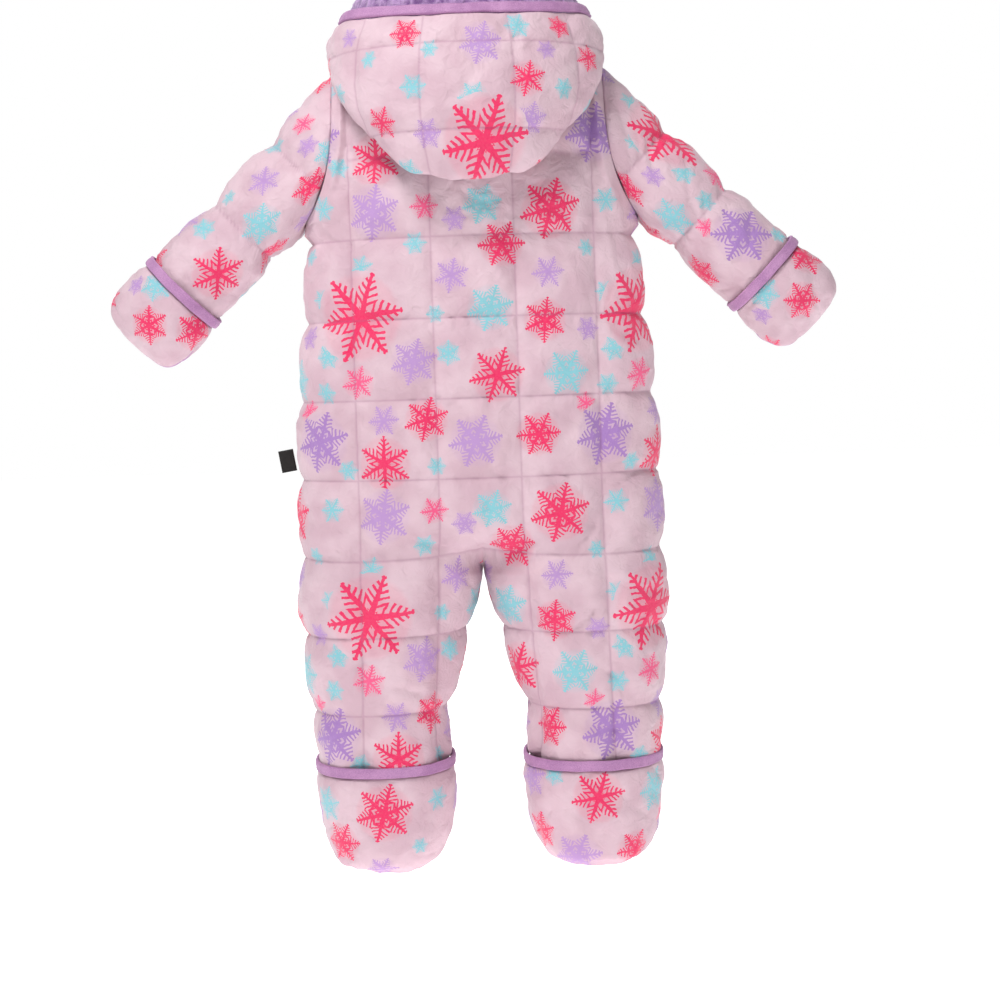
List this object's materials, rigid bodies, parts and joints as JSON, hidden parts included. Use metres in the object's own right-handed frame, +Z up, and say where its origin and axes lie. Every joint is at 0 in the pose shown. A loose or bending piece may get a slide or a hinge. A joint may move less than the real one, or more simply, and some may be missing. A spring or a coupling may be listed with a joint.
{
  "type": "baby snowsuit",
  "caption": "Quilted one-piece baby snowsuit, filled out as if worn, with a sherpa-lined hood hanging behind, fold-over mitts, foot covers and a front zip.",
  "frame": {"origin": "where the wearer's shoulders hold the suit, on the centre line at the base of the neck", "axes": "+Z up towards the head, +Y towards the back of the suit (the front and its zip face -Y), +X towards the wearer's left"},
  "size_m": [0.624, 0.1909, 0.7688],
  "materials": {
    "printed_cloth": "padded woven polyester, pale pink with printed snowflakes, quilted in squares, slight sheen",
    "mauve_binding": "matt folded binding",
    "sherpa": "deep curly pile",
    "zip_tape": "fine woven tape",
    "zip_plastic": "satin moulded plastic",
    "label_cloth": "dense black woven ribbon"
  },
  "bodies": {
    "suit": {"back_panel": "printed_cloth", "front_left": "printed_cloth", "front_right": "printed_cloth", "sleeve_left": "printed_cloth", "sleeve_right": "printed_cloth", "mitt_left": "printed_cloth", "mitt_right": "printed_cloth", "mitt_binding_left": "mauve_binding", "mitt_binding_right": "mauve_binding", "foot_left": "printed_cloth", "foot_right": "printed_cloth", "foot_binding_left": "mauve_binding", "foot_binding_right": "mauve_binding", "hood_shell": "printed_cloth", "hood_lining": "sherpa", "hood_binding": "mauve_binding", "zip_tape": "zip_tape", "zip_slider": "zip_plastic", "side_label": "label_cloth"},
    "zip_pull": {"zip_pull": "zip_plastic"}
  },
  "joints": [
    {"name": "pull_hinge", "type": "hinge", "parent": "suit", "child": "zip_pull", "pos_m": [0, -0.05946, -0.033], "axis": [-1, 0, 0], "range_deg": [0, 150]}
  ]
}
